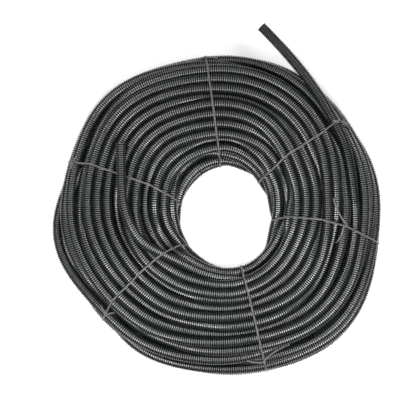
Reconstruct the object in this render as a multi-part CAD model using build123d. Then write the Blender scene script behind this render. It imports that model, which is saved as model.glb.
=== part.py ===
"""A coil of black corrugated electrical conduit, held by six plastic ties.

The conduit is one long piece. Its turns lie packed in rows round an open middle and are turned here
as one solid, whose faces show every turn of its outer layer. Two ends leave the coil: the outer end
runs off past the rim, and the inner end lies over the top turns. Each end is a thin wall pressed into
waves near its mouth. Each tie is one strap round the section of the coil, with its knot and two tails.

Frame: +Z up, origin on the axis of the coil at floor level, +Y the way the outer end's mouth points.
"""

import math
import os

from build123d import *

# Conduit, in millimetres. The outer diameter is over the crests, the bore is inside the roots.
conduit_od = 16.0
conduit_bore = 10.7
wall = 0.45
wave_pitch = 3.3
crest_width = 1.7
root_width = 0.8
waves_at_mouth = 3

# Coil: the radius of its open middle, and how many turns lie in each row from the floor up. A turn in the
# outer layer is a ridge, with a flat crest in the top row, between two grooves whose bottoms stand this
# far outside the line of the turns' centres.
middle_radius = 71.0
turns_in_row = (9, 10, 11, 10, 9)
half_crest = 3.0
groove_bottom = 3.0

# Ties.
tie_width = 2.8
tie_thickness = 1.2
tie_gap = 0.3
knot_length = 6.4
knot_width = 5.2
knot_height = 3.6
knot_chamfer = 1.1
tail_thickness = 1.0
tail_point = 5.0
tail_lift_angle = 3.0

# Outer end: where its mouth stands beyond the rim of the coil, how far along +Y, how far it rises out of
# the top row, and where it passes under its tie, in conduit widths from the open middle.
outer_mouth_beyond_rim = 2.5
outer_mouth_reach = 162.6
outer_bend_reach = 78.0
outer_end_rise = 1.6
outer_end_at_tie = 9.75
tie_over_outer_end = -8.0

conduit_radius = conduit_od / 2
root_radius = conduit_bore / 2 + wall
row_rise = conduit_od * math.sqrt(3) / 2
widest_row = max(turns_in_row)
rim_radius = middle_radius + widest_row * conduit_od
lowest_row = tie_thickness + tie_gap + conduit_radius
top_row = lowest_row + row_rise * (len(turns_in_row) - 1)
top_of_turns = top_row + conduit_radius
straight_at_mouth = waves_at_mouth * wave_pitch
above_a_tie = conduit_od + tie_thickness + 2 * tie_gap
outer_end_height = top_row + outer_end_rise

# The angle round the coil of each tie, the place of its knot and its tails. A knot on the top face
# gives its radius in conduit widths from the middle, and a knot on the slope of the rim how many widths
# it lies above the widest row. A tail has its length and its angle from the way that the strap runs.
ties = {
    "tie_north": dict(angle=46.0, rim_knot=0.85, tails=[(30.0, 78.0), (24.0, -84.0)]),
    "tie_outer_end": dict(
        angle=tie_over_outer_end, top_knot=7.9, tails=[(13.0, 128.0), (9.0, -118.0)], over_outer_end=True
    ),
    "tie_east": dict(angle=-49.0, top_knot=7.6, tails=[(46.0, 118.0), (29.0, -113.0)]),
    "tie_south": dict(angle=-112.0, top_knot=9.0, tails=[(46.0, 102.0), (27.0, -115.0)]),
    "tie_west": dict(angle=178.0, top_knot=9.2, tails=[(15.0, 140.0), (11.0, -95.0)]),
    "tie_inner_end": dict(angle=118.0, rim_knot=1.4, tails=[(12.0, 95.0), (10.0, -80.0)]),
}


def turn_centre(row, turn):
    """The radius and height of the middle of one turn of the coil."""
    inset = (widest_row - turns_in_row[row]) / 2
    radius = middle_radius + conduit_radius + conduit_od * (inset + turn)
    return radius, lowest_row + row_rise * row


def outer_layer():
    """The centres of the turns that show, in order: along the floor, up the rim, inwards and down."""
    rows = range(1, len(turns_in_row) - 1)
    floor = [turn_centre(0, turn) for turn in range(turns_in_row[0])]
    rim = [turn_centre(row, turns_in_row[row] - 1) for row in rows]
    top = [turn_centre(rows.stop, turn) for turn in reversed(range(turns_in_row[-1]))]
    middle = [turn_centre(row, 0) for row in reversed(rows)]
    return [Vector(*centre) for centre in floor + rim + top + middle]


def coil_outline():
    """The outline of the section of the coil: the crest of each turn of the outer layer, and the grooves."""
    layer = outer_layer()
    outline = []
    for before, turn, after in zip(layer[-1:] + layer, layer, layer[1:] + layer[:1]):
        arriving = (turn - before).normalized()
        leaving = (after - turn).normalized()
        at_a_corner = arriving.get_angle(leaving) > 1
        for along in [arriving, leaving] if at_a_corner else [leaving]:
            crest = turn + along.rotate(Axis.Z, -90) * conduit_radius
            in_the_top_row = turn.Y > top_row - row_rise / 2
            outline += [crest - along * half_crest, crest + along * half_crest] if in_the_top_row else [crest]
        outline.append((turn + after) * 0.5 + leaving.rotate(Axis.Z, -90) * groove_bottom)
    return Polygon(*outline, align=None)


def polar(widths_from_middle, angle, height):
    """A point at an angle round the coil, its radius counted in conduit widths from the open middle."""
    radius = middle_radius + widths_from_middle * conduit_od
    turn = math.radians(angle)
    return Vector(radius * math.cos(turn), radius * math.sin(turn), height)


def outer_end_route():
    """From inside the top row, out under its tie, and off the rim to a mouth that points along +Y."""
    beside = rim_radius + outer_mouth_beyond_rim
    return [
        polar(9.25, -40.0, top_row - 0.55 * conduit_od),
        polar(9.47, -22.0, top_row - 0.15 * conduit_od),
        polar(outer_end_at_tie, tie_over_outer_end, outer_end_height),
        Vector(beside, outer_bend_reach, outer_end_height),
        Vector(beside, outer_mouth_reach, outer_end_height),
    ]


def inner_end_route():
    """From inside the top row, up over the turns, and across the tie that it lies on."""
    on_the_tie = top_row + above_a_tie
    return [
        polar(2.19, 176.0, top_row - 0.5 * conduit_od),
        polar(2.65, 164.0, top_row - 0.14 * conduit_od),
        polar(3.32, 152.4, top_row + 0.5 * conduit_od),
        polar(4.15, 137.3, on_the_tie),
        polar(5.01, 121.1, on_the_tie),
        polar(7.03, 99.0, on_the_tie),
    ]


def bend_radii(points):
    """The radius of the arc at each corner of a route, as large as the shorter of its two runs allows."""
    radii = []
    for before, corner, after in zip(points, points[1:], points[2:]):
        run_in = corner - before
        run_out = after - corner
        turn = math.radians(run_in.get_angle(run_out))
        radii.append(0.45 * min(run_in.length, run_out.length) / math.tan(turn / 2))
    return radii


def rounded_route(points):
    """The route's runs joined by arcs."""
    return FilletPolyline(*points, radius=bend_radii(points))


def mouth_plane(points):
    """The plane of a mouth, with its normal pointing out of the conduit."""
    return Plane(origin=points[-1], z_dir=points[-1] - points[-2])


def grooves_between_crests():
    """The rings cut from the outside of a wall. The mouth is cut across the middle of a root."""
    flank = (wave_pitch - crest_width - root_width) / 2
    outside = conduit_radius + wall
    rings = Sketch()
    for wave in range(waves_at_mouth + 1):
        middle = -wave * wave_pitch
        groove = Polygon(
            (root_radius, middle - root_width / 2),
            (root_radius, middle + root_width / 2),
            (conduit_radius, middle + root_width / 2 + flank),
            (outside, middle + root_width / 2 + flank),
            (outside, middle - root_width / 2 - flank),
            (conduit_radius, middle - root_width / 2 - flank),
            align=None,
        )
        rings += Plane.XZ * groove
    return revolve(rings, axis=Axis.Z)


def space_inside():
    """The hollow of a wall: the bore, opened out under each crest so that the wall is one thickness."""
    bore_radius = conduit_bore / 2
    outline = [(0, 0), (bore_radius, 0)]
    for wave in range(waves_at_mouth):
        crest = -(wave + 0.5) * wave_pitch
        outline += [
            (bore_radius, crest + wave_pitch / 2 - wall),
            (conduit_radius - wall, crest),
            (bore_radius, crest - wave_pitch / 2 + wall),
        ]
    outline += [(bore_radius, -straight_at_mouth), (0, -straight_at_mouth)]
    return revolve(Plane.XZ * Polygon(*outline, align=None), axis=Axis.Z)


def free_end(points):
    """One end of the conduit along its route, waved and hollow at its mouth."""
    route = rounded_route(points)
    start = Plane(origin=route @ 0, z_dir=route % 0)
    tube = sweep(start * Circle(conduit_radius), path=route)
    mouth = mouth_plane(points)
    return tube - mouth.location * grooves_between_crests() - mouth.location * space_inside()


def coiled_turns():
    """All the turns as one turned solid round the open middle."""
    return revolve(Plane.XZ * coil_outline(), axis=Axis.Z)


def conduit():
    """The whole conduit: its turns and both free ends."""
    return coiled_turns() + free_end(outer_end_route()) + free_end(inner_end_route())


def strap_outline(clearance, over_outer_end):
    """The line that a tight strap takes round the section, at a clearance from the turns."""
    held = coil_outline()
    if over_outer_end:
        crossing = middle_radius + outer_end_at_tie * conduit_od
        held += Pos(crossing, outer_end_height) * Circle(conduit_radius)
    return offset(make_hull(held.edges()), clearance, kind=Kind.INTERSECTION)


def knot_place(top_knot, rim_knot):
    """The plane that a knot stands on, with X along the strap and away from the open middle."""
    if top_knot is not None:
        foot = Vector(middle_radius + top_knot * conduit_od, 0, top_of_turns + tie_gap)
        return Plane(origin=foot, x_dir=(1, 0, 0), z_dir=(0, 0, 1))
    down_the_rim = Vector(conduit_radius, 0, -row_rise).normalized()
    out_of_the_rim = Vector(row_rise, 0, conduit_radius).normalized()
    widest_height = lowest_row + row_rise * turns_in_row.index(widest_row)
    widest_turn = Vector(rim_radius - conduit_radius, 0, widest_height)
    foot = widest_turn - down_the_rim * rim_knot * conduit_od + out_of_the_rim * (conduit_radius + tie_gap)
    return Plane(origin=foot, x_dir=down_the_rim, z_dir=out_of_the_rim)


def knot_with_tails(tails):
    """A knot that stands on the strap's plane, strap along X, with its tails lying beside it."""
    block = Box(knot_length, knot_width, knot_height, align=(Align.CENTER, Align.CENTER, Align.MIN))
    knot = chamfer(block.edges(), knot_chamfer)
    half = tie_width / 2
    for length, angle in tails:
        shoulder = length - tail_point
        strip = Polygon((0, -half), (shoulder, -half), (length, 0), (shoulder, half), (0, half), align=None)
        lifted = Rot(0, -tail_lift_angle, 0) * extrude(strip, tail_thickness)
        knot += Pos(0, 0, tie_thickness / 2) * Rot(0, 0, angle) * lifted
    return knot


def tie(angle, tails, top_knot=None, rim_knot=None, over_outer_end=False):
    """One strap round the section at an angle round the coil, with its knot."""
    outside = strap_outline(tie_gap + tie_thickness, over_outer_end)
    inside = strap_outline(tie_gap, over_outer_end)
    strap = extrude(Plane.XZ * (outside - inside), tie_width / 2, both=True)
    return Rot(0, 0, angle) * (strap + knot_place(top_knot, rim_knot).location * knot_with_tails(tails))


def main():
    for name, points in (("outer end", outer_end_route()), ("inner end", inner_end_route())):
        radii = ", ".join(f"{radius:.0f}" for radius in bend_radii(points))
        print(f"{name}: {rounded_route(points).length:.0f} mm long, bends of radius {radii} mm")
    os.makedirs("parts", exist_ok=True)
    export_step(conduit(), "parts/conduit.step")
    for name, facts in ties.items():
        export_step(tie(**facts), f"parts/{name}.step")


main()
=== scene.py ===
"""A coil of black corrugated conduit with six twisted plastic ties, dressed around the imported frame.

The frame stands on the floor at z = 0 with the coil's axis on z. Angles run round that axis from +x, and the
photograph looks straight down with the angle UP_ANGLE at its top. Lengths in the layout are millimetres, and
every mesh is written in metres.
"""

import math

import bpy
import numpy as np
from mathutils import Matrix, Vector


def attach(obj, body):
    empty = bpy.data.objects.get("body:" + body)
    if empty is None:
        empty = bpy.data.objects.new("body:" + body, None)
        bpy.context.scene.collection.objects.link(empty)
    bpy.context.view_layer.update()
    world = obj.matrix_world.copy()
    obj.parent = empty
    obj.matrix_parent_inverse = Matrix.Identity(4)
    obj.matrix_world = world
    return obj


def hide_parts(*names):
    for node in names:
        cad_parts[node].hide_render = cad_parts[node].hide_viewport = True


MM = 0.001

# Conduit, as in the part's source.
OD = 16.0
CREST = OD / 2
ROOT = 5.8
BORE = 5.35
WALL = 0.45
WAVE = 3.3
FLAT = 1.7
LINED_WAVES = 14
SIDES = {"mouth": 24, "shown": 16, "under": 10}
FLOOR_TO_TURN = 9.5
ROW_RISE = OD * math.sqrt(3) / 2
TOP_ROW = FLOOR_TO_TURN + 4 * ROW_RISE
MIDDLE_RADIUS = 71.0

# The coil's loose shape: the mean radius of its open middle and of its rim, each with how far it swells
# (millimetres) and towards which angle, for two, three, ... lobes. The first pair shifts the whole circle.
HOLE_RADIUS = 72.5
HOLE_LOBES = ((11.3, -58.0), (3.6, 104.0), (1.8, 72.0))
RIM_RADIUS = 252.6
RIM_LOBES = (
    (2.8, -94.0), (5.5, -152.0), (3.5, 76.0), (1.9, 1.0), (1.6, -6.0), (3.3, 162.0), (1.1, -117.0), (1.3, 60.0),
)
MEAN_HEIGHT = 71.4
SQUARENESS = 2.8

# How far the coil's inner and outer sides lean back from the floor to the top, each as a mean and one lobe.
INNER_LEAN = (22.0, ((14.0, -22.0),))
OUTER_LEAN = (19.0, ((17.0, -100.0),))

# Where the outermost turn stands away from the rest: the angles from and to, and how far.
BULGES = ((112.0, 176.0, 13.0),)

# The turns that show lie in a ring round the section, the first a share of a place before the ring's start,
# and each turn ends one place further on.
TURNS = 26
FIRST_PLACE = -0.2
STATIONS = 96
SPACING = 15.3
SWING = 2.2
SWING_ANGLE = 85.0
RELAX_STEPS = 900
SEED = 3

# Where a turn dips under its neighbours: the angles from and to, and its radius half way.
DIPS = (
    (-26, 14, 122), (34, 66, 119), (108, 146, 119), (132, 192, 142), (161, 206, 142), (178, 212, 172),
    (212, 256, 190), (222, 256, 131), (218, 248, 142), (276, 308, 180), (308, 336, 155), (-4, 31, 230),
    (96, 131, 224), (16, 48, 181), (-44, -14, 102), (256, 291, 102),
    (56, 96, 85), (256, 286, 230), (171, 201, 215), (146, 171, 92), (199, 231, 230),
)
DIP_DEPTH = 13.6

# Where a free end meets the chain: how many stations of the chain lead up to it, how far the turn that goes
# on beyond it starts below, and how many points of the line on each side are eased, how often.
PINNED = 8
SUNK_DEPTH = 16.0
EASED = 30
EASING_STEPS = 300

# How far under the line of the shown turns the plain hidden ones begin.
HIDDEN_DEPTH = 19.0

# Ties: twist ties of two thin wings beside a wire, in section across and outward from the turns.
TIE_GAP = 0.35
TIE_SECTION = (
    (-1.4, -0.1), (-1.4, 0.35), (-0.7, 0.4), (-0.4, 0.8), (0.0, 0.95), (0.4, 0.8), (0.7, 0.4), (1.4, 0.35),
    (1.4, -0.1), (0.6, -0.2), (-0.6, -0.2),
)
KNOT_TURNS = 2.3
KNOT_LENGTH = 5.0
KNOT_RADIUS = 1.5

# Each tie by pixels of the photograph: its course from the open middle to the rim, its knot and its tails.
PIXEL = 1.524
AXIS_PIXEL = (219.5, 215.5)
TIES = {
    "tie_north": dict(course=((221, 168), (213.5, 110), (206, 57)), knot=(205.6, 57), tails=((185, 61), (218, 57))),
    "tie_outer_end": dict(
        course=((259, 182), (287, 155), (320, 134), (334, 123), (343, 121), (353, 125)),
        knot=(340, 121.5), tails=((332, 121), (351, 129)),
    ),
    "tie_east": dict(
        course=((271, 221), (288, 216.5), (321, 219.5), (345, 226), (380, 243)),
        knot=(345, 226), tails=((333, 198), (336, 243)),
    ),
    "tie_south": dict(
        course=((241, 265), (250, 300), (258, 335), (264, 360), (267, 371)),
        knot=(264.5, 361.5), tails=((247, 361), (290, 345)),
    ),
    "tie_west": dict(
        course=((191, 247), (180, 245), (163, 253), (145, 268), (112, 301), (103, 318)),
        knot=(107, 314), tails=((114, 313.5), (100, 306)),
    ),
    "tie_inner_end": dict(
        course=((183, 207), (172, 197), (150, 185), (122, 175), (90, 164), (70, 162)),
        knot=(71, 162), tails=((76, 157), (70, 169)), over=False,
    ),
}

# The view: what lies at the top of the picture, how wide the picture is at the height of the top turns, and
# how far its middle is from the coil's axis, to the right and up.
UP_ANGLE = 46.0
PICTURE_WIDTH = 640.0
PICTURE_SHIFT = (-14.5, 8.4)
CAMERA_HEIGHT = 2.0

# A light tent, as the world's brightness by the sine of the height: a pale horizon, a dark band, a bright ring
# and a dim top.
TENT = ((0.0, 0.8), (0.15, 0.8), (0.22, 0.05), (0.65, 0.05), (0.72, 1.95), (0.79, 1.95), (0.87, 0.3), (1.0, 0.3))

# Softboxes round the coil: how far each is turned from the top of the picture, its distance from the axis and
# its height, its width, all in metres, and its power.
LIGHTS = {
    "upper_left": (50, 0.9, 1.2, 0.4, 5.6),
    "upper_right": (-50, 0.9, 1.2, 0.4, 5.6),
    "lower_left": (135, 0.4, 0.7, 0.25, 3.8),
    "lower_right": (-135, 0.4, 0.7, 0.25, 3.8),
    "centre": (180, 0.05, 0.34, 0.12, 0.27),
}

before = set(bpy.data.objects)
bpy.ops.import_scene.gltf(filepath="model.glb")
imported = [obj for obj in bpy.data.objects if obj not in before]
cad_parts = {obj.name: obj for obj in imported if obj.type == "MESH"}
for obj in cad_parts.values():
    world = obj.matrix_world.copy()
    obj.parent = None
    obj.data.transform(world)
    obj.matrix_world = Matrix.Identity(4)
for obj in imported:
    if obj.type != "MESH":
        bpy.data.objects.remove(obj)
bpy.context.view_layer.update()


def harmonic(mean, lobes, angles):
    """A radius that swells towards the named angles."""
    radius = np.full(np.shape(angles), mean, float)
    for order, (swell, toward) in enumerate(lobes, 1):
        radius += swell * np.cos(np.radians(order * np.asarray(angles) - toward))
    return radius


def bulge(angles):
    """How far the outermost turn stands away from the rest at these angles."""
    out = np.zeros(np.shape(angles))
    for start, end, far in BULGES:
        share = np.clip((np.asarray(angles) - start) / (end - start), 0, 1)
        out += far * np.sin(math.pi * share) ** 2
    return out


def polar(widths, angle, height):
    """A point of a route, as part.py counts it, in millimetres."""
    radius = MIDDLE_RADIUS + widths * OD
    return (radius * math.cos(math.radians(angle)), radius * math.sin(math.radians(angle)), height)


OUTER_ROUTE = (
    polar(8.55, -38.0, TOP_ROW - 4.0),
    polar(9.05, -22.0, TOP_ROW + 2.6),
    polar(9.65, -8.0, TOP_ROW + 3.4),
    (247.5, 78.0, TOP_ROW + 1.6),
    (245.7, 165.5, TOP_ROW + 1.6),
)
INNER_ROUTE = (
    polar(1.50, 182.0, TOP_ROW - 2.0),
    polar(1.95, 172.5, TOP_ROW + 0.5),
    polar(2.65, 163.5, TOP_ROW + 6.5),
    polar(3.48, 153.4, TOP_ROW + 11.0),
    polar(4.35, 138.5, TOP_ROW + 13.2),
    polar(5.25, 122.0, TOP_ROW + 12.0),
    polar(7.16, 99.6, TOP_ROW + 9.8),
)


def smooth_line(points):
    """The points of a smooth curve that a route's points control, in millimetres."""
    data = bpy.data.curves.new("route", "CURVE")
    data.dimensions = "3D"
    data.resolution_u = 24
    spline = data.splines.new("NURBS")
    spline.points.add(len(points) - 1)
    for place, point in zip(spline.points, points):
        place.co = (*[value * MM for value in point], 1.0)
    spline.order_u = 3
    spline.use_endpoint_u = True
    curve = bpy.data.objects.new("route", data)
    mesh = bpy.data.meshes.new_from_object(curve)
    line = np.array([vertex.co for vertex in mesh.vertices], float) / MM
    bpy.data.objects.remove(curve)
    bpy.data.meshes.remove(mesh)
    bpy.data.curves.remove(data)
    return line


class Ring:
    """The ring of turns round the section, at every station round the coil."""

    def __init__(self):
        self.station = np.arange(STATIONS)
        self.angle = self.station * 360 / STATIONS
        self.hole = harmonic(HOLE_RADIUS, HOLE_LOBES, self.angle)
        self.rim = harmonic(RIM_RADIUS, RIM_LOBES, self.angle) - bulge(self.angle)
        width = self.rim - self.hole
        height = MEAN_HEIGHT * (RIM_RADIUS - HOLE_RADIUS) / width
        around = np.linspace(0, 2 * math.pi, 721)
        across = -np.sign(np.cos(around)) * np.abs(np.cos(around)) ** (2 / SQUARENESS)
        up = np.sign(np.sin(around)) * np.abs(np.sin(around)) ** (2 / SQUARENESS)
        half_height = height / 2 - CREST
        self.line_z = (FLOOR_TO_TURN + half_height)[:, None] + half_height[:, None] * up
        inner = (self.hole + CREST)[:, None] + harmonic(*INNER_LEAN, self.angle)[:, None] * (up + 1) / 2
        outer = (self.rim - CREST)[:, None] - harmonic(*OUTER_LEAN, self.angle)[:, None] * (up + 1) / 2
        self.line_r = inner + (outer - inner) * (across + 1) / 2
        low, high = self.line_r.min(1)[:, None], self.line_r.max(1)[:, None]
        fit = (self.rim - self.hole - OD)[:, None] / (high - low)
        self.line_r = (self.hole + CREST)[:, None] + (self.line_r - low) * fit
        step = np.hypot(np.diff(self.line_r), np.diff(self.line_z))
        self.line_s = np.concatenate([np.zeros((STATIONS, 1)), np.cumsum(step, 1)], 1)
        self.girth = self.line_s[:, -1]
        self.place = self.girth / TURNS
        swing = SWING * np.cos(np.radians(self.angle - SWING_ANGLE))
        self.base = FIRST_PLACE + np.arange(TURNS)[:, None] + self.station / STATIONS + swing

    def position(self, x, depth):
        """Radius and height of ring places x at a depth under the ring's line."""
        radius, height = np.zeros_like(x), np.zeros_like(x)
        for s in range(STATIONS):
            along = (x[:, s] % TURNS) * self.place[s]
            ahead = (along + 0.5) % self.girth[s]
            r0, z0 = (np.interp(along, self.line_s[s], line[s]) for line in (self.line_r, self.line_z))
            r1, z1 = (np.interp(ahead, self.line_s[s], line[s]) for line in (self.line_r, self.line_z))
            length = np.hypot(r1 - r0, z1 - z0) + 1e-9
            radius[:, s] = r0 + (z1 - z0) / length * depth[:, s]
            height[:, s] = z0 - (r1 - r0) / length * depth[:, s]
        return radius, height

    def project(self, s, radius, height):
        """Ring place and depth of a point at station s."""
        far = np.hypot(self.line_r[s] - radius, self.line_z[s] - height)
        near = int(np.argmin(far[:-1]))
        r0, z0 = self.line_r[s, near], self.line_z[s, near]
        r1, z1 = self.line_r[s, near + 1], self.line_z[s, near + 1]
        length = math.hypot(r1 - r0, z1 - z0)
        depth = ((radius - r0) * (z1 - z0) - (height - z0) * (r1 - r0)) / length
        return self.line_s[s, near] / self.place[s], depth


def at_stations(line):
    """A smooth line's radius and height at each station that it passes, by the angle it has there."""
    angle = np.degrees(np.unwrap(np.arctan2(line[:, 1], line[:, 0])))
    radius, height = np.hypot(line[:, 0], line[:, 1]), line[:, 2]
    order = np.argsort(angle)
    first = math.ceil(angle.min() * STATIONS / 360)
    last = math.floor(angle.max() * STATIONS / 360)
    steps = np.arange(first, last + 1)
    at = steps * 360 / STATIONS
    return steps, np.interp(at, angle[order], radius[order]), np.interp(at, angle[order], height[order])


def smoothstep(value):
    value = np.clip(value, 0, 1)
    return value * value * (3 - 2 * value)


def along_chain(values, shift):
    """The values of the one long chain of turns, shifted along it."""
    return np.roll(values.reshape(-1), shift).reshape(values.shape)


def bend(values, linked):
    """How far each place of the chain lies from the middle of the two that it is linked to."""
    before = (along_chain(values, 1) - values) * along_chain(linked, 1)
    after = (along_chain(values, -1) - values) * linked
    return 0.5 * (before + after)


def smooth_noise(draw, reach):
    """Noise along the chain that varies over this many stations."""
    spectrum = np.fft.rfft(draw.normal(0, 1, TURNS * STATIONS))
    frequency = np.fft.rfftfreq(TURNS * STATIONS)
    noise = np.fft.irfft(spectrum * np.exp(-0.5 * (2 * math.pi * frequency * reach) ** 2), TURNS * STATIONS)
    return (noise / noise.std()).reshape(TURNS, STATIONS)


def dip_depths(ring):
    """How deep each turn lies at each station, from the dips."""
    radius, height = ring.position(ring.base, np.zeros_like(ring.base))
    depth = np.zeros(TURNS * STATIONS)
    for start, end, at in DIPS:
        s = int(round((start + end) / 2 * STATIONS / 360)) % STATIONS
        off = np.abs(radius[:, s] - at) + np.where(height[:, s] > height.mean(), 0, 1e3)
        middle = int(np.argmin(off)) * STATIONS + s
        half = int(round((end - start) / 2 * STATIONS / 360))
        for k in range(-half - 5, half + 6):
            at_k = (middle + k) % depth.size
            depth[at_k] = max(depth[at_k], DIP_DEPTH * smoothstep((half + 5 - abs(k)) / 6))
    return depth.reshape(TURNS, STATIONS)


def relaxed_ring(ring, ends):
    """Turns pushed apart until they lie beside each other, round the two free ends as well."""
    draw = np.random.default_rng(SEED)
    target = dip_depths(ring)
    linked = np.ones_like(target)
    for join in ends:
        linked.flat[min(join["chain"], join["chain"] + join["away"]) % target.size] = 0
        for k in range(13):
            beyond = (join["chain"] + join["away"] * (k + 1)) % target.size
            target.flat[beyond] = max(target.flat[beyond], SUNK_DEPTH * (1 - smoothstep((k - 4) / 8)))
            target.flat[(join["chain"] - join["away"] * k) % target.size] = 0
    noise = smooth_noise(draw, 7)
    x = ring.base + 0.12 * smooth_noise(draw, 9)
    depth = target * 0.5 + 0.8 * noise
    for step in range(RELAX_STEPS):
        push_x, push_d = np.zeros_like(x), np.zeros_like(x)
        for other in (1, 2, 3):
            next_x, next_d = np.roll(x, -other, 0), np.roll(depth, -other, 0)
            next_x[-other:] += TURNS
            dx, dd = (next_x - x) * ring.place, next_d - depth
            if other == 1:
                dx = np.maximum(dx, 1.5)
            apart = np.hypot(dx, dd)
            share = np.where(apart < SPACING, (SPACING - apart) / np.maximum(apart, 1e-6), 0) * 0.5
            push_x += np.roll(share * dx, other, 0) - share * dx
            push_d += np.roll(share * dd, other, 0) - share * dd
        for join in ends:
            for s, at_x, at_d in join["beside"]:
                dx = ((x[:, s] - at_x + TURNS / 2) % TURNS - TURNS / 2) * ring.place[s]
                dd = depth[:, s] - at_d
                apart = np.hypot(dx, dd)
                share = np.where(apart < SPACING, (SPACING - apart) / np.maximum(apart, 1e-6), 0)
                push_x[:, s] += share * dx
                push_d[:, s] += share * np.maximum(dd, 2.0)
        x += 0.45 * push_x / ring.place
        depth += 0.45 * push_d
        x -= 0.004 * (x - ring.base)
        depth += np.where(target > 0.5, 0.10, 0.05) * (target - depth)
        for join in ends:
            for s, at_x, at_d, own, hold in join["pins"]:
                shift = (at_x - x[own, s] + TURNS / 2) % TURNS - TURNS / 2
                x[own, s] += hold * shift
                depth[own, s] += hold * (at_d - depth[own, s])
        depth = np.clip(depth, -1.2, 16.5)
        x += 0.45 * bend(x - ring.base, linked)
        depth += 0.45 * bend(depth, linked)
    radius, height = ring.position(x, depth)
    for start, end, _ in BULGES:
        middle = int(round((start + end) / 2 * STATIONS / 360))
        outermost = int(np.argmax(radius[:, middle])) * STATIONS + middle
        reach = math.ceil((end - start) / 2 * STATIONS / 360)
        for k in range(-reach, reach + 1):
            radius.flat[(outermost + k) % radius.size] += bulge((middle + k) * 360 / STATIONS)
    return radius, np.maximum(height, FLOOR_TO_TURN - 0.1)


def end_join(ring, line, away):
    """Where a free end meets the chain of turns, the stations that it passes, and the pins that lead up to it.

    The end's line starts at the join. away is +1 where it runs off at growing angles."""
    way = (line[0] - line[4]) / np.linalg.norm(line[0] - line[4])
    extended = np.concatenate([line[0] + way * np.arange(24, 0, -1)[:, None], line])
    steps, radius, height = at_stations(extended)
    first = math.degrees(math.atan2(line[0][1], line[0][0])) * STATIONS / 360
    join = math.ceil(first) - 1 if away > 0 else math.floor(first) + 1
    passed = {step: ring.project(step % STATIONS, r, z) for step, r, z in zip(steps, radius, height)}
    s = join % STATIONS
    own = int(round(passed[join][0] - ring.base[0, s])) % TURNS
    chain = own * STATIONS + s
    slope = [passed[join][k] - passed[join + away][k] for k in (0, 1)]
    pins = []
    for k in range(PINNED):
        at_k = (chain - away * k) % (TURNS * STATIONS)
        run = k - k * k / (2 * PINNED)
        x, depth = (passed[join][axis] + slope[axis] * run for axis in (0, 1))
        pins.append((at_k % STATIONS, x, max(depth, -1.0), at_k // STATIONS, 0.7 * (1 - k / PINNED)))
    beside = [
        (step % STATIONS, *place) for step, place in passed.items() if (step - join) * away > 0
    ]
    return dict(chain=chain, away=away, beside=beside, pins=pins)


def chain_points(radius, height, first, last):
    """The chain of turns between two places on it, as (turning angle, radius, height), eight to a station."""
    count = TURNS * STATIONS
    fine = np.arange(first * 8, last * 8 + 1) / 8
    base = np.floor(fine).astype(int)
    t = (fine - base)[:, None]
    flat = np.stack([radius.reshape(-1), height.reshape(-1)], 1)
    p0, p1, p2, p3 = (flat[(base + k) % count] for k in (-1, 0, 1, 2))
    value = p1 + 0.5 * t * (p2 - p0 + t * (2 * p0 - 5 * p1 + 4 * p2 - p3 + t * (3 * (p1 - p2) + p3 - p0)))
    return np.column_stack([np.radians(fine * 360 / STATIONS), value])


def to_space(points):
    angle, radius, height = points.T
    return np.column_stack([radius * np.cos(angle), radius * np.sin(angle), height])


def joined_line(chain, line, at_end):
    """The chain and a free end's line as one, with the bend between them eased."""
    if not at_end:
        return joined_line(chain[::-1], line, True)[::-1]
    joined = resampled(np.concatenate([chain, line]), 1.5)
    off = np.linalg.norm(joined - line[0], axis=1)
    middle = int(np.argmin(off))
    low, high = middle - EASED, middle + EASED
    share = smoothstep(1 - np.abs(np.arange(low, high) - middle) / EASED)[:, None] * 0.5
    for _ in range(EASING_STEPS):
        joined[low:high] += share * (
            (joined[low - 1 : high - 1] + joined[low + 1 : high + 1]) / 2 - joined[low:high]
        )
    return joined


class Path:
    """A line measured along its length, with the frames that a tube is built on."""

    def __init__(self, points):
        step = np.linalg.norm(np.diff(points, axis=0), axis=1)
        keep = np.concatenate([[True], step > 1e-6])
        self.points = points[keep]
        step = np.linalg.norm(np.diff(self.points, axis=0), axis=1)
        self.s = np.concatenate([[0], np.cumsum(step)])
        self.length = self.s[-1]

    def at(self, s):
        return np.column_stack([np.interp(s, self.s, self.points[:, k]) for k in range(3)])

    def frames(self, s):
        ahead = self.at(np.clip(s + 2, 0, self.length)) - self.at(np.clip(s - 2, 0, self.length))
        ahead /= np.linalg.norm(ahead, axis=1)[:, None]
        side = np.cross(np.array([0, 0, 1.0]), ahead)
        side /= np.linalg.norm(side, axis=1)[:, None]
        return self.at(s), side, np.cross(ahead, side)


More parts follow.
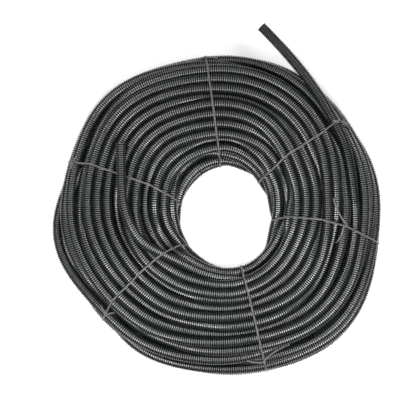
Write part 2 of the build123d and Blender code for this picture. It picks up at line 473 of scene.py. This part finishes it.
def mesh_piece(name, verts, faces, material, crest=None, ring_of=None, smooth=True):
    """A mesh object from arrays in millimetres, shaded with an edge round each ring where ring_of is given."""
    mesh = bpy.data.meshes.new(name)
    if isinstance(faces, np.ndarray):
        mesh.vertices.add(len(verts))
        mesh.vertices.foreach_set("co", (verts * MM).astype(np.float32).ravel())
        mesh.loops.add(faces.size)
        mesh.loops.foreach_set("vertex_index", faces.astype(np.int32).ravel())
        mesh.polygons.add(len(faces))
        mesh.polygons.foreach_set("loop_start", np.arange(0, faces.size, faces.shape[1], dtype=np.int32))
    else:
        mesh.from_pydata((verts * MM).tolist(), [], faces)
    mesh.update(calc_edges=True)
    mesh.validate()
    mesh.polygons.foreach_set("use_smooth", np.full(len(mesh.polygons), smooth))
    if crest is not None:
        shade = mesh.attributes.new("crest", "FLOAT", "POINT")
        shade.data.foreach_set("value", crest.astype(np.float32))
    if ring_of is not None:
        ends = np.empty(len(mesh.edges) * 2, np.int32)
        mesh.edges.foreach_get("vertices", ends)
        ends = ring_of[ends.reshape(-1, 2)]
        sharp = mesh.attributes.new("sharp_edge", "BOOLEAN", "EDGE")
        sharp.data.foreach_set("value", ends[:, 0] == ends[:, 1])
    mesh.materials.append(material)
    piece = bpy.data.objects.new(name, mesh)
    bpy.context.scene.collection.objects.link(piece)
    return piece


def tube_rings(path, s, radius, sides, phase=0.0):
    """Rings of vertices along a path, and the quads between them."""
    centre, side, up = path.frames(s)
    turn = (np.arange(sides) + phase) * 2 * math.pi / sides
    ring = np.cos(turn)[None, :, None] * side[:, None] + np.sin(turn)[None, :, None] * up[:, None]
    verts = centre[:, None] + ring * radius[:, None, None]
    near = np.arange(len(s) - 1)[:, None] * sides + np.arange(sides)
    far = near // sides * sides + (near + 1) % sides
    quads = np.stack([near, far, far + sides, near + sides], -1).reshape(-1, 4)
    return verts.reshape(-1, 3), quads


def wave_profile(first, last, detail):
    """Where the rings of these waves stand along the conduit, their radii and how much they are crest."""
    start = np.arange(first, last)[:, None] * WAVE
    if detail == "under":
        offset = [0, WAVE / 2]
        radius = [ROOT, CREST]
    else:
        offset = [0, (WAVE - FLAT) / 2, (WAVE + FLAT) / 2]
        radius = [ROOT, CREST, CREST]
    s = np.append((start + offset).ravel(), last * WAVE)
    r = np.append(np.tile(radius, last - first), ROOT)
    return s, r


def conduit_run(path, first, last, detail):
    """Waves first to last of a conduit, as vertices, quads and crest shade."""
    sides = SIDES[detail]
    s, radius = wave_profile(first, last, detail)
    s = np.clip(s, 0, path.length)
    verts, quads = tube_rings(path, s, radius, sides)
    crest = np.repeat((radius - ROOT) / (CREST - ROOT), sides)
    return verts, quads, crest, np.repeat(np.arange(len(s)) * sides, sides)


def shown_from_outside(ring, points):
    """True where a turn at this angle, radius and height lies on the upper part or the sides of the ring."""
    angle, radius, height = points
    s = np.round(np.degrees(angle) * STATIONS / 360).astype(int) % STATIONS
    middle = FLOOR_TO_TURN + (ring.line_z[s].max(1) - FLOOR_TO_TURN) / 2
    inset = np.minimum(radius - ring.hole[s], ring.rim[s] - radius)
    return (height > middle - 8) | (inset < 22)


def conduit_pieces(name, path, ring, first, last, material, limit=150000):
    """The waves of a path in pieces under the limit of triangles, plainer where only the floor sees them."""
    centre = path.at((np.arange(first, last) + 0.5) * WAVE)
    angle = np.arctan2(centre[:, 1], centre[:, 0])
    shown = shown_from_outside(ring, (angle, np.hypot(centre[:, 0], centre[:, 1]), centre[:, 2]))
    spread = np.convolve(shown, np.ones(25), "same") > 0
    cuts = np.flatnonzero(np.diff(spread.astype(int))) + 1
    bounds = [0, *cuts, last - first]
    pieces, parts, triangles = [], [], 0

    def close():
        nonlocal parts, triangles
        if parts:
            offset = np.cumsum([0] + [len(part[0]) for part in parts[:-1]])
            verts = np.concatenate([part[0] for part in parts])
            quads = np.concatenate([part[1] + shift for part, shift in zip(parts, offset)])
            crest = np.concatenate([part[2] for part in parts])
            rings = np.concatenate([part[3] + shift for part, shift in zip(parts, offset)])
            pieces.append(mesh_piece(f"{name}_{len(pieces) + 1}", verts, quads, material, crest, rings))
        parts, triangles = [], 0

    for low, high in zip(bounds, bounds[1:]):
        detail = "shown" if spread[low] else "under"
        per_wave = 6 * SIDES["shown"] if detail == "shown" else 4 * SIDES["under"]
        while low < high:
            room = max(1, (limit - triangles) // per_wave)
            end = min(high, low + room)
            parts.append(conduit_run(path, first + low, first + end, detail))
            triangles += (end - low) * per_wave
            low = end
            if triangles > limit - 100:
                close()
    close()
    return pieces


def hidden_turns(ring, material):
    """A plain dark body that fills the coil under the turns that show."""
    around = np.arange(0, TURNS, 0.5)
    x = np.repeat(around[:, None], STATIONS, 1)
    radius, height = ring.position(x, np.full_like(x, HIDDEN_DEPTH))
    angle = np.radians(ring.angle)
    verts = np.stack([radius * np.cos(angle), radius * np.sin(angle), height], -1).transpose(1, 0, 2)
    rows = len(around)
    near = np.arange(STATIONS)[:, None] * rows + np.arange(rows)
    beside = near // rows * rows + (near + 1) % rows
    total = STATIONS * rows
    quads = np.stack([near, beside, (beside + rows) % total, (near + rows) % total], -1).reshape(-1, 4)
    return mesh_piece("hidden_turns", verts.reshape(-1, 3), quads, material, np.zeros(total))


def open_end(name, path, first, last, mouth_at_start, material):
    """A free end: waved wall, bore, and an open mouth of one wall's thickness."""
    verts, quads, crest, rings = conduit_run(path, first, last, "mouth")
    sides = SIDES["mouth"]
    low, high = (first, first + LINED_WAVES) if mouth_at_start else (last - LINED_WAVES, last)
    s, radius = wave_profile(low, high, "mouth")
    inside = np.where(radius > ROOT, CREST - WALL, BORE)
    lining, lining_quads = tube_rings(path, s, inside, sides)
    lining_quads = lining_quads[:, ::-1]
    at_mouth = 0 if mouth_at_start else -sides
    rim_out = np.arange(sides) + at_mouth % len(verts)
    rim_in = np.arange(sides) + len(verts) + at_mouth % len(lining)
    around = (np.arange(sides) + 1) % sides
    lip = np.stack([rim_out, rim_in, rim_in[around], rim_out[around]], -1)
    if not mouth_at_start:
        lip = lip[:, ::-1]
    all_quads = np.concatenate([quads, lining_quads + len(verts), lip])
    shade = np.concatenate([crest, np.zeros(len(lining))])
    rings = np.concatenate([rings, np.repeat(np.arange(len(s)) * sides + len(verts), sides)])
    return mesh_piece(name, np.concatenate([verts, lining]), all_quads, material, shade, rings)


def in_picture(x, y):
    """The place on the coil that shows at this pixel of the photograph, in millimetres."""
    right, up = (x - AXIS_PIXEL[0]) * PIXEL, (AXIS_PIXEL[1] - y) * PIXEL
    turn = math.radians(UP_ANGLE)
    return np.array([right * math.sin(turn) + up * math.cos(turn), up * math.sin(turn) - right * math.cos(turn)])


class Plan:
    """A line seen from above, straight beyond both of its ends."""

    def __init__(self, points):
        self.points = np.array(points)
        self.runs = np.diff(self.points, axis=0)
        self.lengths = np.linalg.norm(self.runs, axis=1)
        self.starts = np.concatenate([[0], np.cumsum(self.lengths)[:-1]])
        self.total = self.lengths.sum()

    def at(self, s):
        run = np.clip(np.searchsorted(self.starts, s, "right") - 1, 0, len(self.runs) - 1)
        way = self.runs[run] / self.lengths[run][:, None]
        return self.points[run] + way * (s - self.starts[run])[:, None]

    def locate(self, places):
        """Distance along the line, and to its left, of each place."""
        best = np.full(len(places), np.inf)
        along, left = np.zeros(len(places)), np.zeros(len(places))
        for k, (start, run, length, before) in enumerate(zip(self.points, self.runs, self.lengths, self.starts)):
            way = run / length
            t = (places - start) @ way
            low = -np.inf if k == 0 else 0.0
            high = np.inf if k == len(self.runs) - 1 else length
            kept = np.clip(t, low, high)
            off = np.linalg.norm(places - start - kept[:, None] * way, axis=1)
            nearer = off < best
            best[nearer] = off[nearer]
            along[nearer] = (before + kept)[nearer]
            left[nearer] = ((places - start) @ np.array([-way[1], way[0]]))[nearer]
        return along, left


def crossings(plan, paths):
    """Where turns pass a plan line: distance along it, and height."""
    found = []
    for path in paths:
        along, left = plan.locate(path.points[:, :2])
        at = np.flatnonzero((left[:-1] * left[1:] <= 0) & (np.abs(left[:-1]) < 12) & (np.abs(left[1:]) < 12))
        found.append(np.column_stack([along[at], path.points[at, 2]]))
    found = np.concatenate(found)
    return found[(found[:, 0] > -45) & (found[:, 0] < plan.total + 45)]


def hull(points):
    """The corners of the smallest convex outline round the points, anticlockwise."""
    points = sorted(set(map(tuple, points)))

    def half(run):
        chain = []
        for point in run:
            while len(chain) > 1:
                (ax, ay), (bx, by) = chain[-2:]
                if (bx - ax) * (point[1] - ay) - (by - ay) * (point[0] - ax) > 0:
                    break
                chain.pop()
            chain.append(point)
        return chain[:-1]

    return np.array(half(points) + half(points[::-1]))


def resampled(line, step, closed=False):
    if closed:
        line = np.concatenate([line, line[:1]])
    path = Path(line)
    count = max(2, int(round(path.length / step)))
    return path.at(np.linspace(0, path.length, count + 1))[: count if closed else None]


def ribbon(points, outward, closed):
    """Vertices and faces of a twist tie along a line: two thin wings and a round wire between them."""
    if closed:
        way = np.roll(points, -1, 0) - np.roll(points, 1, 0)
    else:
        way = np.gradient(points, axis=0)
    way /= np.linalg.norm(way, axis=1)[:, None]
    outward = outward - (outward * way).sum(1)[:, None] * way
    outward /= np.linalg.norm(outward, axis=1)[:, None]
    across = np.cross(way, outward)
    shape = np.array(TIE_SECTION)
    verts = points[:, None] + across[:, None] * shape[None, :, :1] + outward[:, None] * shape[None, :, 1:]
    sides = len(shape)
    rings = len(points) if closed else len(points) - 1
    near = np.arange(rings)[:, None] * sides + np.arange(sides)
    round_ = near // sides * sides + (near + 1) % sides
    total = len(points) * sides
    quads = np.stack([near, (near + sides) % total, (round_ + sides) % total, round_], -1).reshape(-1, 4)
    faces = quads.tolist()
    if not closed:
        faces += [list(range(sides)), list(range(total - sides, total))[::-1]]
    return verts.reshape(-1, 3), faces


def top_height(places, paths):
    """How high the turns stand at these places."""
    top = np.zeros(len(places))
    for path in paths:
        for k, place in enumerate(places):
            near = path.points[np.hypot(*(path.points[:, :2] - place).T) < CREST]
            if len(near):
                off = np.hypot(*(near[:, :2] - place).T)
                top[k] = max(top[k], (near[:, 2] + np.sqrt(CREST**2 - off**2)).max())
    return top


def tail_line(start, tip, paths, lift):
    """A stiff tail that lies over the turns from the knot to its tip."""
    count = max(6, int(np.linalg.norm(tip - start[:2]) / 1.5))
    t = np.linspace(0, 1, count)[:, None]
    way = tip - start[:2]
    bow = np.array([-way[1], way[0]]) * 0.06 * np.sin(math.pi * t)
    places = start[:2] + way * t + bow
    tops = top_height(places, paths) + 0.9
    tops[0] = max(tops[0], start[2])
    s = np.linalg.norm(places - places[0], axis=1)
    above = hull(np.column_stack([np.r_[s, s[0], s[-1]], np.r_[tops, -99, -99]]))
    above = above[above[:, 1] > -98]
    order = np.argsort(above[:, 0])
    level = np.interp(s, above[order, 0], above[order, 1])
    return np.column_stack([places, level + lift * t[:, 0] ** 2])


def tie_piece(name, course, knot, tails, paths, material, over=True):
    """One tie: a tight loop round the section, its ends wound round it at the knot, and its two tails."""
    plan = Plan([in_picture(*pixel) for pixel in course])
    held = crossings(plan, paths)
    if not over:
        held = held[held[:, 1] < TOP_ROW + 8]
    around = np.radians(np.arange(0, 360, 6))
    reach = CREST + TIE_GAP
    discs = held[:, None] + reach * np.column_stack([np.cos(around), np.sin(around)])[None]
    outline = hull(discs.reshape(-1, 2))
    flat = resampled(np.column_stack([outline, np.zeros(len(outline))]), 1.5, closed=True)[:, :2]
    way = np.roll(flat, -1, 0) - np.roll(flat, 1, 0)
    way /= np.linalg.norm(way, axis=1)[:, None]
    normal = np.column_stack([way[:, 1], -way[:, 0]])
    low, high = flat[:, 0].min(), flat[:, 0].max()
    ends = plan.at(np.array([low, high]))
    straight = ends[0] + (ends[1] - ends[0]) * ((flat[:, 0] - low) / (high - low))[:, None]
    share = smoothstep(flat[:, 1] / (TOP_ROW / 2) - 0.5)[:, None]
    places = plan.at(flat[:, 0]) * share + straight * (1 - share)
    direction = plan.at(flat[:, 0] + 0.5) - plan.at(flat[:, 0] - 0.5)
    loop = np.column_stack([places, flat[:, 1]])
    outward = np.column_stack([direction * normal[:, :1], normal[:, 1]])
    verts, faces = ribbon(loop, outward, True)

    at_knot, _ = plan.locate(in_picture(*knot)[None])
    upper = np.flatnonzero(normal[:, 1] > 0.05)
    middle = upper[np.argmin(np.abs(flat[upper, 0] - at_knot[0]))]
    centre = loop[middle] + outward[middle] / np.linalg.norm(outward[middle]) * 0.3
    along = loop[(middle + 1) % len(loop)] - loop[middle - 1]
    along /= np.linalg.norm(along)
    out = outward[middle] / np.linalg.norm(outward[middle])
    side = np.cross(along, out)
    wound = np.linspace(0, 1, 60)
    turn = 2 * math.pi * KNOT_TURNS * wound
    helix = (
        centre
        + along * ((wound - 0.5) * KNOT_LENGTH)[:, None]
        + (side * np.cos(turn)[:, None] + out * np.sin(turn)[:, None]) * KNOT_RADIUS
    )
    facing = side * np.cos(turn)[:, None] + out * np.sin(turn)[:, None]
    parts = [(helix, facing)]
    for tip, start in zip(tails, (helix[0], helix[-1])):
        line = tail_line(start + out * 0.5, in_picture(*tip), paths, 1.2)
        parts.append((line, np.tile([0.0, 0.0, 1.0], (len(line), 1))))
    for line, facing in parts:
        more, more_faces = ribbon(line, facing, False)
        faces += [[index + len(verts) for index in face] for face in more_faces]
        verts = np.concatenate([verts, more])
    piece = mesh_piece(name, verts, faces, material)
    return piece


def noise(material, scale, detail):
    """Noise that stays with the object, at so many cells to a metre."""
    nodes, links = material.node_tree.nodes, material.node_tree.links
    place = nodes.new("ShaderNodeTexCoord")
    texture = nodes.new("ShaderNodeTexNoise")
    texture.inputs["Scale"].default_value = scale
    texture.inputs["Detail"].default_value = detail
    links.new(place.outputs["Object"], texture.inputs["Vector"])
    return texture.outputs["Fac"]


def ranged(material, value, low, high):
    """A noise's middle values spread from low to high."""
    node = material.node_tree.nodes.new("ShaderNodeMapRange")
    node.inputs["From Min"].default_value = 0.35
    node.inputs["From Max"].default_value = 0.65
    node.inputs["To Min"].default_value = low
    node.inputs["To Max"].default_value = high
    material.node_tree.links.new(value, node.inputs["Value"])
    return node.outputs["Result"]


def plastic(name, dark, light, share, gloss, roughness, grain):
    """Moulded plastic between two colours, with uneven gloss and a fine grain."""
    material = bpy.data.materials.new(name)
    material.use_nodes = True
    nodes, links = material.node_tree.nodes, material.node_tree.links
    shader = nodes["Principled BSDF"]
    shader.inputs["IOR"].default_value = 1.52
    shader.inputs["Specular IOR Level"].default_value = gloss
    colour = nodes.new("ShaderNodeMix")
    colour.data_type = "RGBA"
    colour.inputs["A"].default_value = (*dark, 1)
    colour.inputs["B"].default_value = (*light, 1)
    links.new(share(material), colour.inputs["Factor"])
    links.new(colour.outputs["Result"], shader.inputs["Base Color"])
    links.new(ranged(material, noise(material, 90, 5), *roughness), shader.inputs["Roughness"])
    bump = nodes.new("ShaderNodeBump")
    bump.inputs["Strength"].default_value = grain
    bump.inputs["Distance"].default_value = 0.0002
    links.new(noise(material, 900, 3), bump.inputs["Height"])
    links.new(bump.outputs["Normal"], shader.inputs["Normal"])
    return material


def dust_and_groove_shade(material):
    """Crests of the waves lighter than the grooves, here more and there less: partly dust and rubbing on the
    crests, partly painted shade in the grooves.
    """
    nodes, links = material.node_tree.nodes, material.node_tree.links
    crest = nodes.new("ShaderNodeAttribute")
    crest.attribute_name = "crest"
    share = nodes.new("ShaderNodeMath")
    share.operation = "MULTIPLY"
    links.new(crest.outputs["Fac"], share.inputs[0])
    links.new(ranged(material, noise(material, 14, 4), 0.15, 1.0), share.inputs[1])
    return share.outputs["Value"]


def blotches(material):
    return ranged(material, noise(material, 160, 4), 0.0, 1.0)


def make_camera():
    right = Vector((math.cos(math.radians(UP_ANGLE - 90)), math.sin(math.radians(UP_ANGLE - 90)), 0))
    up = Vector((math.cos(math.radians(UP_ANGLE)), math.sin(math.radians(UP_ANGLE)), 0))
    data = bpy.data.cameras.new("camera")
    data.sensor_width = 36
    data.lens = 36 * CAMERA_HEIGHT / (PICTURE_WIDTH * MM)
    camera = bpy.data.objects.new("camera", data)
    middle = right * PICTURE_SHIFT[0] * MM + up * PICTURE_SHIFT[1] * MM
    middle.z = TOP_ROW * MM + CAMERA_HEIGHT
    camera.matrix_world = Matrix.Translation(middle) @ Matrix(
        ((right.x, up.x, 0, 0), (right.y, up.y, 0, 0), (0, 0, 1, 0), (0, 0, 0, 1))
    )
    bpy.context.scene.collection.objects.link(camera)
    bpy.context.scene.camera = camera


def make_stage():
    """A white floor that keeps the coil's shadow."""
    material = bpy.data.materials.new("floor_white")
    material.use_nodes = True
    nodes, links = material.node_tree.nodes, material.node_tree.links
    shader = nodes["Principled BSDF"]
    shader.inputs["Base Color"].default_value = (0.82, 0.82, 0.82, 1)
    shader.inputs["Roughness"].default_value = 0.9
    shader.inputs["Specular IOR Level"].default_value = 0.1
    shader.inputs["Emission Color"].default_value = (1, 1, 1, 1)
    shader.inputs["Emission Strength"].default_value = 0.15
    half = 40000.0
    corners = np.array([[-half, -half, -0.2], [half, -half, -0.2], [half, half, -0.2], [-half, half, -0.2]])
    floor = mesh_piece("floor", corners, [[0, 1, 2, 3]], material, smooth=False)


def area_light(name, angle, reach, height, size, power):
    """A softbox that looks at the middle of the coil."""
    data = bpy.data.lights.new(name, "AREA")
    data.shape = "SQUARE"
    data.size = size
    data.energy = power
    light = bpy.data.objects.new(name, data)
    place = Vector((reach * math.cos(math.radians(angle)), reach * math.sin(math.radians(angle)), height))
    light.location = place
    light.rotation_euler = (-place).to_track_quat("-Z", "Y").to_euler()
    light.visible_camera = False
    bpy.context.scene.collection.objects.link(light)


def make_lights():
    world = bpy.data.worlds.new("world")
    world.use_nodes = True
    nodes, links = world.node_tree.nodes, world.node_tree.links
    way = nodes.new("ShaderNodeTexCoord")
    parts = nodes.new("ShaderNodeSeparateXYZ")
    links.new(way.outputs["Generated"], parts.inputs["Vector"])
    ramp = nodes.new("ShaderNodeValToRGB")
    links.new(parts.outputs["Z"], ramp.inputs["Fac"])
    brightest = max(level for _, level in TENT)
    stops = ramp.color_ramp.elements
    for place, level in TENT:
        share = level / brightest
        stops.new(place).color = (share, share, share, 1)
    stops.remove(stops[0])
    stops.remove(stops[len(stops) - 1])
    background = nodes["Background"]
    links.new(ramp.outputs["Color"], background.inputs["Color"])
    background.inputs["Strength"].default_value = brightest
    bpy.context.scene.world = world
    for name, (turned, reach, height, size, power) in LIGHTS.items():
        area_light(name, UP_ANGLE + turned, reach, height, size, power)


make_camera()
make_stage()
make_lights()
bpy.context.scene.view_settings.view_transform = "Standard"

# The conduit's crests mix towards the lighter colour: partly dust, partly painted shade in the grooves between
# them.
black = plastic(
    "conduit_black", (0.0045, 0.0054, 0.006), (0.0115, 0.0135, 0.0148), dust_and_groove_shade, 0.85, (0.24, 0.36), 0.25,
)
# A darker, less glossy copy of the conduit's plastic for the outer end: painted shade, so that this end renders
# darker than the other turns.
shaded_copy_black = plastic(
    "shaded_copy_black", (0.0045, 0.0054, 0.006), (0.0075, 0.0088, 0.0096), dust_and_groove_shade, 0.45, (0.24, 0.36), 0.25,
)
grey = plastic("tie_grey", (0.05, 0.051, 0.052), (0.09, 0.09, 0.09), blotches, 0.5, (0.4, 0.6), 0.4)

ring = Ring()
outer_line = smooth_line(OUTER_ROUTE)
inner_line = smooth_line(INNER_ROUTE)
outer_join = end_join(ring, outer_line, 1)
inner_join = end_join(ring, inner_line, -1)
radius, height = relaxed_ring(ring, (outer_join, inner_join))

count = TURNS * STATIONS
first, last = inner_join["chain"], outer_join["chain"]
if last < first:
    last += count
direct = to_space(chain_points(radius, height, first, last))
through = joined_line(direct, outer_line, True)
through = joined_line(through, inner_line, False)
main_path = Path(through)
rest_path = Path(to_space(chain_points(radius, height, last + 1, first + count - 1)))

inner_length = Path(inner_line).length
outer_length = Path(outer_line).length
waves = int(main_path.length // WAVE)
inner_waves = int(round(inner_length / WAVE))
outer_waves = int(round(outer_length / WAVE))

pieces = conduit_pieces("turns_between_ends", main_path, ring, inner_waves, waves - outer_waves, black)
pieces += conduit_pieces("other_turns", rest_path, ring, 1, int(rest_path.length // WAVE) - 1, black)
pieces.append(hidden_turns(ring, black))
for piece in pieces:
    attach(piece, "root")
    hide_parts("conduit")

inner_end = open_end("inner_end", main_path, 0, inner_waves, True, black)
# The outer end takes the darker copy of the plastic: painted shade.
outer_end = open_end("outer_end", main_path, waves - outer_waves, waves, False, shaded_copy_black)
for piece in (inner_end, outer_end):
    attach(piece, "root")
    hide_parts("conduit")
s, _ = wave_profile(0, inner_waves, "mouth")
inner_centres = main_path.at(s) * MM
s, _ = wave_profile(waves - outer_waves, waves, "mouth")
outer_centres = main_path.at(s) * MM

for name, facts in TIES.items():
    piece = tie_piece("twist_" + name, paths=(main_path, rest_path), material=grey, **facts)
    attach(piece, "root")
    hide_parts(name)
